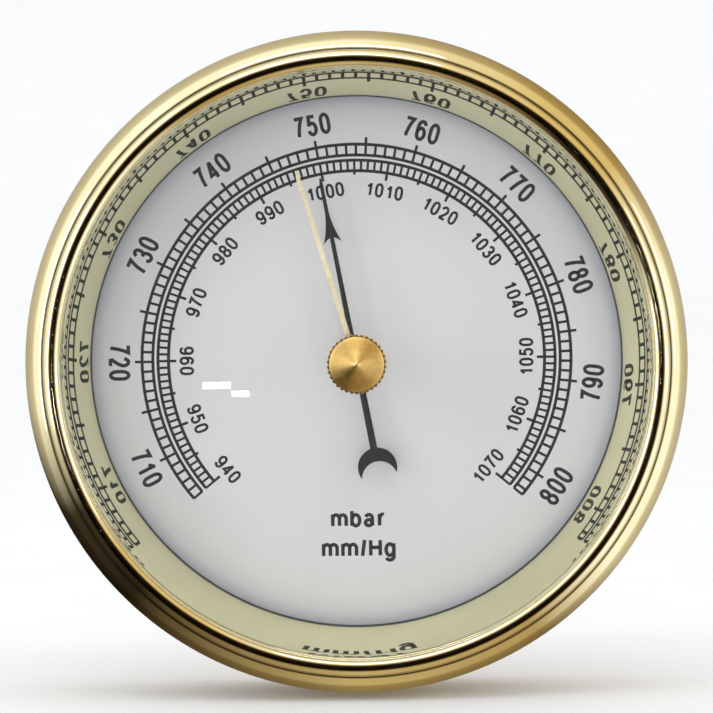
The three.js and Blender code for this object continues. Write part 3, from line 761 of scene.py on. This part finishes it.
def round_label(words, width, height, weight, radius, degrees):
    """A number on the dial whose top is outwards, or inwards on the lower half."""
    label = lettering(words, width, height, weight)
    turn = -math.radians(degrees) + (math.pi if abs(degrees) > 89.5 else 0)
    middle = Matrix.Translation((radius * MM * math.sin(math.radians(degrees)),
                                 radius * MM * math.cos(math.radians(degrees)), DIAL_Z * MM))
    label.data.transform(UPRIGHT @ middle @ Matrix.Rotation(turn, 4, "Z"))
    return label


def print_numbers():
    mercury = [round_label(str(n), 7.2, 4.2, 0.69, 46.15, angle_of(n * MILLIBARS_PER_MERCURY))
               for n in range(710, 801, 10)]
    millibars = [round_label(str(n), 7.4 if n >= 1000 else 5.6, 2.85, 0.5, 33.05, angle_of(n))
                 for n in range(940, 1071, 10)]
    names = []
    for words, width, height, drop in (("mbar", 10.7, 3.6, 31.1), ("mm/Hg", 14.4, 3.7, 36.9)):
        name = lettering(words, width, height, 0.7)
        name.data.transform(UPRIGHT @ Matrix.Translation((0, -drop * MM, DIAL_Z * MM)))
        names.append(name)
    printed = {"mercury_numbers": mercury, "millibar_numbers": millibars, "unit_names": names}
    for piece_name, labels in printed.items():
        piece = join(labels, piece_name)
        edit(piece)
        weld()
        end_edit()
        raise_print(piece)
        fit_in(piece, ink, body="case")
    for letter in drawn_letters.values():
        bpy.data.objects.remove(letter)


# ---- hands and knob ------------------------------------------------------------------------------


def make_pointer():
    """A needle with a barbed head in front of the pivot and a crescent behind it."""
    z = levels("pointer")[0]
    right = [(0.1, 36.3), (0.33, 35.2), (0.38, 29.5)]
    right += bend((0.38, 29.5), (0.55, 26.4), (1.85, 23.4), 12)
    right += bend((1.85, 23.4), (1.1, 24.2), (0.4, 24.5), 6)
    right += [(0.56, 2.6)]
    right += oval((0, 0), 2.5, 2.5, 76, -76, 10)
    tail, middle, outer, hollow, inner = 0.7, -20.9, 3.82, -23.2, 3.45
    meet = math.asin(tail / outer)
    right += [(tail, middle + outer * math.cos(meet))]
    tip = 0.44
    right += oval((0, middle), outer, outer, 90 - math.degrees(meet), -math.degrees(tip), 18)[1:]
    tip_x, tip_y = outer * math.cos(tip), middle - outer * math.sin(tip)
    start = math.degrees(math.atan2(tip_y - hollow, tip_x))
    right += oval((0, hollow), inner, inner, start + 4, 90, 14)
    outline = right + [(-x, y) for x, y in reversed(right[:-1])]
    pointer = sheet_cut("black_pointer", rotated(outline, POINTER_TURN), z, 0.3)
    drill(pointer, round_bar("cutter", 1.4, z - 1, z + 1, sides=48))
    soften(pointer, 0.06, 2, 50)
    smooth(pointer, 40)
    fit_in(pointer, black_paint, "pointer")
    low = z - 1.2
    profile = [(0.75, low), (2.0, low), (2.2, low + 0.2), (2.2, z - 0.25), (2.05, z - 0.1)]
    profile += [(1.3, z - 0.1), (1.3, z + 0.7), (1.1, z + 0.9), (0.75, z + 0.9)]
    collet = turned("turned_pointer_collet", profile, steps=64)
    smooth(collet)
    fit_in(collet, satin_brass, "pointer_collet")


def make_set_hand():
    """A slim straight hand with rounded edges, on a round boss."""
    z = levels("set_hand")[0]
    tip = 38.8
    outline = [(0.53, 0), (0.4, tip - 1.8), (0.07, tip), (-0.07, tip), (-0.4, tip - 1.8), (-0.53, 0)]
    hand = sheet_cut("gilt_set_hand", rotated(outline, SET_HAND_TURN), z, 0.4)
    boss = round_bar("boss", 3, z, z + 0.4, sides=64)
    fuse(hand, boss)
    drill(hand, round_bar("cutter", 1.3, z - 1, z + 1))
    soften(hand, 0.12, 2, 50)
    smooth(hand, 30)
    fit_in(hand, pale_gold, "set_hand")
    low, high = levels("set_hand_collar")
    profile = [(1.3, low), (2.4, low), (2.6, low + 0.2), (2.6, high - 1.4), (2.2, high - 1)]
    profile += [(2.2, high - 0.2), (2.0, high), (1.3, high)]
    collar = turned("turned_hand_collar", profile, steps=64)
    smooth(collar)
    fit_in(collar, satin_brass, "set_hand_collar")
    low = levels("spring_washer")[0]
    profile = [(1.5, low), (2.3, low), (3.5, low + 0.8), (3.6, low + 0.9), (3.55, low + 1.1)]
    profile += [(3.4, low + 1.05), (2.25, low + 0.25), (1.5, low + 0.25)]
    washer = turned("dished_spring_washer", profile, steps=64)
    smooth(washer)
    fit_in(washer, blued_steel, "spring_washer")


def make_knob():
    """A knurled rim under a low turned cone, on the stem that goes through the crystal."""
    stem_end, point = levels("set_knob")
    low, thickness = 40.1, 1.75
    flutes, radius, depth = 34, 5.75, 0.42
    steps = flutes * 10
    outline = []
    for i in range(steps):
        wave = abs(math.sin(math.pi * flutes * i / steps))
        r = radius - depth * (1 - wave ** 0.8)
        outline.append((r * math.cos(TURN * i / steps), r * math.sin(TURN * i / steps)))
    rim = sheet_cut("knurled_knob", outline, low, thickness)
    soften(rim, 0.14, 2, 60)
    top = low + thickness
    profile = [(0, top - 0.8), (5.25, top - 0.8), (5.25, top + 0.05), (5.1, top + 0.2), (3.4, top + 0.95)]
    profile += [(1.8, top + 1.9), (0.7, top + 2.75), (0.22, point - 0.12), (0, point)]
    cone = turned("cone", profile, steps=136)
    stem = round_bar("stem", 1.2, stem_end, low + 0.5, sides=48)
    fuse(rim, cone, stem)
    smooth(rim, 32)
    fit_in(rim, knob_brass, "set_knob")
    low, high = levels("knob_washer")
    profile = [(1.3, low), (3.5, low), (3.6, low + 0.1), (3.6, high - 0.1), (3.5, high), (1.3, high)]
    washer = turned("nylon_knob_washer", profile, steps=64)
    smooth(washer)
    fit_in(washer, pale_nylon, "knob_washer")


# ---- movement ------------------------------------------------------------------------------------


def make_capsule():
    """Two corrugated diaphragms that mirror each other; the upper one is left off any body, with its place
    baked into its mesh.
    """
    for name, sign in (("capsule_lower", 1), ("capsule_upper", -1)):
        start, rim = (7.6, 9.25) if sign > 0 else (11.7, 10.05)
        flat, edge, wall = 4.5, 15.8, 0.33
        face = [(0, start), (flat, start)]
        for i in range(1, 60):
            share = i / 60
            wave = 0.32 * math.sin(share * 10 * math.pi) * min(1, 6 * share, 6 * (1 - share))
            face.append((flat + (edge - flat) * share, start + (rim - start) * share ** 2 + sign * wave))
        face += [(edge, rim), (16.95, rim)]
        back = [(r, z + sign * wall) for r, z in reversed(face)]
        piece = turned("corrugated_" + name, face + back, steps=96)
        smooth(piece, 50)
        held_at_rim = None if sign > 0 else (reader(0, 0, rim), reader(0, 0, start - 0.1))
        fit_in(piece, capsule_bronze, name, flexes=held_at_rim)


def make_hairspring():
    """A flat ribbon coiled outwards from the collet to its stud."""
    low, high = levels("hairspring")
    turns, inner, outer = 4, 1.5, 6
    points = []
    for i in range(64 * turns + 1):
        share = i / (64 * turns)
        r, t = inner + (outer - inner) * share, TURN * turns * share
        points.append(reader(r * math.cos(t), r * math.sin(t), low + 0.03))
    spring = draw_line("coiled_hairspring", points)
    bpy.ops.mesh.extrude_region_move(TRANSFORM_OT_translate={"value": reader(0, 0, high - low - 0.06)})
    weld()
    end_edit()
    use_modifier(spring, "SOLIDIFY", thickness=0.16 * MM, offset=0)
    edit(spring)
    weld()
    end_edit()
    smooth(spring, 40)
    fit_in(spring, blued_steel, "hairspring")


# Nodes that have a piece of their own above.
MADE = {"rear_case", "bezel", "reflector_ring", "crystal", "crystal_gasket", "dial_plate", "pointer",
        "pointer_collet", "set_hand", "set_hand_collar", "spring_washer", "set_knob", "knob_washer",
        "capsule_lower", "capsule_upper", "hairspring"}
# The radius of the broken edges, where it isn't the usual 0.08.
ROUND_EDGES = {"base_plate": 0.15, "lower_plate": 0.12, "upper_plate": 0.12, "keyhole_cover": 0.3,
               "capsule_leaf": 0.1, "sector_gear": 0.04, "pointer_arbor": 0.03, "adjusting_screw": 0.1}


def finish_movement():
    """Each remaining part gets its edges broken and its finish."""
    for name, node in frame["nodes"].items():
        if name in MADE:
            continue
        clear_selection()
        piece = bpy.data.objects.new(name + "_finished", node.data.copy())
        bpy.context.collection.objects.link(piece)
        edit(piece)
        bpy.ops.mesh.remove_doubles(threshold=1e-6)
        bpy.ops.mesh.dissolve_limited(angle_limit=math.radians(1))
        end_edit()
        soften(piece, ROUND_EDGES.get(name, 0.08), 2, 50)
        smooth(piece, 40)
        use_modifier(piece, "WEIGHTED_NORMAL", keep_sharp=True, weight=80)
        fit_in(piece, SLOT_FINISH[SLOT_OF[name]], name)


make_case()
make_bezel()
make_reflector()
make_crystal()
make_dial_plate()
print_scales()
print_numbers()
make_pointer()
make_set_hand()
make_knob()
make_capsule()
make_hairspring()
finish_movement()


# ---- floor, room and lamps -----------------------------------------------------------------------


def make_floor():
    """A pale round floor, and a backdrop that rises from its edge all the way round."""
    low = cad_box[0][2] - 0.0006
    paint = Finish("pale floor", Specular_IOR_Level=0.2)
    mottle = paint.noise(60, 3)
    paint.set("Base Color", paint.blend(mottle, (0.66, 0.66, 0.655), (0.69, 0.69, 0.685)))
    paint.set("Roughness", 0.7 + mottle * 0.1)
    clear_selection()
    bpy.ops.mesh.primitive_circle_add(vertices=96, radius=4, fill_type="NGON", location=(0, 0, low))
    floor = bpy.context.object
    name_piece(floor, "floor")
    settle()
    backdrop = draw_line("backdrop", [Vector((4 + r, 0, low + z)) for r, z in oval((0, 2), 2, 2, -90, 0, 24)])
    bpy.ops.mesh.spin(steps=96, angle=TURN, center=(0, 0, 0), axis=(0, 0, 1))
    weld()
    end_edit()
    smooth(backdrop)
    backdrop.visible_diffuse = backdrop.visible_shadow = False
    for piece in (floor, backdrop):
        piece.visible_glossy = False
        piece.data.materials.append(paint.material)


def make_room():
    """A pale room, which polished metal sees as a studio: dark in front, bright at the sides and above."""
    world = bpy.data.worlds.new("room")
    bpy.context.scene.world = world
    world.use_nodes = True
    tree = world.node_tree
    tree.nodes.clear()

    def add(kind, **settings):
        made = tree.nodes.new("ShaderNode" + kind)
        for key, value in settings.items():
            setattr(made, key, value)
        return made

    def link(a, b):
        tree.links.new(a, b)

    def ramp(value, *shades):
        """Colours from their places on a scale from 0 to 1, as (place, red, green, blue)."""
        made = add("ValToRGB")
        stops = made.color_ramp.elements
        while len(stops) < len(shades):
            stops.new(0.5)
        for stop, (at, *shade) in zip(stops, shades):
            stop.position, stop.color = at, (*shade, 1)
        link(value, made.inputs[0])
        return made.outputs[0]

    def from_half(value, scale):
        made = add("Math", operation="MULTIPLY_ADD")
        link(value, made.inputs[0])
        made.inputs[1].default_value, made.inputs[2].default_value = scale, 0.5
        return made.outputs[0]

    place = add("TexCoord")
    parts = add("SeparateXYZ")
    link(place.outputs["Generated"], parts.inputs[0])
    in_front = ramp(from_half(parts.outputs["Y"], -0.5), (0, 0.4, 0.36, 0.28), (0.28, 0.6, 0.56, 0.46),
                    (0.42, 1, 1, 1), (0.82, 1, 1, 1), (0.9, 0.3, 0.22, 0.13), (0.955, 0.006, 0.004, 0.003))
    round_about = add("Math", operation="ARCTAN2")
    link(parts.outputs["X"], round_about.inputs[0])
    link(parts.outputs["Z"], round_about.inputs[1])
    walls = ramp(from_half(round_about.outputs[0], 1 / TURN),
                 (0, 0.5, 0.4, 0.22), (0.07, 0.2, 0.15, 0.08), (0.12, 0.02, 0.015, 0.01),
                 (0.17, 0.04, 0.03, 0.02), (0.22, 0.9, 0.87, 0.79), (0.27, 1, 0.98, 0.92),
                 (0.42, 1, 0.99, 0.94), (0.5, 0.95, 0.9, 0.78), (0.59, 0.7, 0.56, 0.3),
                 (0.65, 0.62, 0.46, 0.2), (0.71, 1, 0.98, 0.92), (0.86, 1, 0.98, 0.92),
                 (0.91, 0.4, 0.29, 0.14), (1, 0.5, 0.4, 0.22))
    both = add("Mix", data_type="RGBA", blend_type="MULTIPLY")
    both.inputs[0].default_value = 1
    link(in_front, both.inputs[6])
    link(walls, both.inputs[7])
    studio = add("Background")
    studio.inputs["Strength"].default_value = 1.2
    link(both.outputs[2], studio.inputs["Color"])
    pale = add("Background")
    pale.inputs["Color"].default_value = (0.8, 0.81, 0.83, 1)
    pale.inputs["Strength"].default_value = 1.8
    path = add("LightPath")
    mix = add("MixShader")
    link(path.outputs["Is Glossy Ray"], mix.inputs[0])
    link(pale.outputs[0], mix.inputs[1])
    link(studio.outputs[0], mix.inputs[2])
    output = add("OutputWorld")
    link(mix.outputs[0], output.inputs["Surface"])


def lamp(name, place, target, width, height, power, tint=(1, 1, 1)):
    bpy.ops.object.light_add(type="AREA", location=place)
    light = bpy.context.object
    light.name = name
    light.data.shape = "RECTANGLE"
    light.data.size, light.data.size_y = width, height
    light.data.energy = power
    light.data.color = tint
    light.rotation_euler = (Vector(target) - Vector(place)).to_track_quat("-Z", "Y").to_euler()
    light.visible_camera = False


def make_camera():
    """A long lens, a little above the dial's axis."""
    middle = Vector((0, -0.03, 0.0011))
    distance, lift = 0.8, math.radians(2)
    bpy.ops.object.camera_add(location=middle + Vector((0, -math.cos(lift), math.sin(lift))) * distance)
    camera = bpy.context.object
    camera.data.sensor_width = 36
    camera.data.lens = 36 * distance / 0.1379
    camera.data.clip_start = 0.01
    aim = (middle - camera.location).to_track_quat("-Z", "Y").to_matrix().to_4x4()
    camera.rotation_euler = (aim @ Matrix.Rotation(math.radians(-0.67), 4, "Z")).to_euler()
    bpy.context.scene.camera = camera


make_floor()
make_room()
lamp("near strip", (-0.066, -0.83, -0.0385), (0, 0, 0), 0.013, 0.003, 0.006)
lamp("small strip", (-0.055, -0.83, -0.0425), (0, 0, 0), 0.008, 0.0025, 0.003)
lamp("left window", (-0.6, -0.42, 0.1), (0, 0, 0), 0.1, 0.5, 0.7, (1, 0.98, 0.94))
lamp("top strip", (-0.05, -0.4, 0.65), (0, 0, 0), 0.5, 0.1, 0.7, (1, 0.99, 0.97))
lamp("right fill", (0.7, -0.35, 0.15), (0, 0, 0), 0.06, 0.4, 0.25, (1, 0.94, 0.86))
make_camera()
bpy.context.scene.view_settings.view_transform = "Standard"
